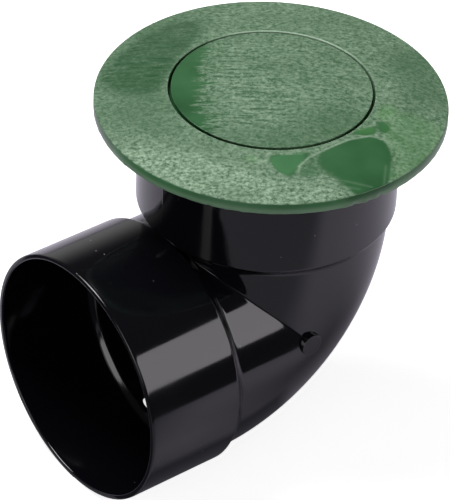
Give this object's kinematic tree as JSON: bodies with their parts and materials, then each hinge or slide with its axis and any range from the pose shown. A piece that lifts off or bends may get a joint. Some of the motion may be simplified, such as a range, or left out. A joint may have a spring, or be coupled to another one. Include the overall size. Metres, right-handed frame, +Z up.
{
  "type": "pop-up drain emitter",
  "caption": "Round domed lawn flange with a spring-closed lifting cap, its spigot seated in a black right-angle hub elbow that turns a buried drain pipe up to the surface.",
  "frame": {"origin": "centre of the inlet socket's mouth", "axes": "+Z up along the emitter's axis, -Y out of the inlet socket, +X to the right seen from the inlet"},
  "size_m": [0.1494, 0.1752, 0.1678],
  "materials": {
    "black_styrene": "glossy injection moulding",
    "green_polyethylene": "mottled, fine crinkled moulding grain",
    "stainless_steel": "drawn wire and plain pressed steel"
  },
  "bodies": {
    "fitting": {"elbow": "black_styrene", "emitter_body": "green_polyethylene", "return_spring": "stainless_steel"},
    "cap_assembly": {"pop_up_cap": "green_polyethylene", "spring_washer": "stainless_steel", "retaining_screw": "stainless_steel"}
  },
  "joints": [
    {"name": "cap_lift", "type": "slide", "parent": "fitting", "child": "cap_assembly", "axis": [0, 0, 1], "range_m": [0, 0.024], "stiffness_N_per_m": 120, "springref_m": -0.02, "deforming": ["return_spring"]}
  ]
}
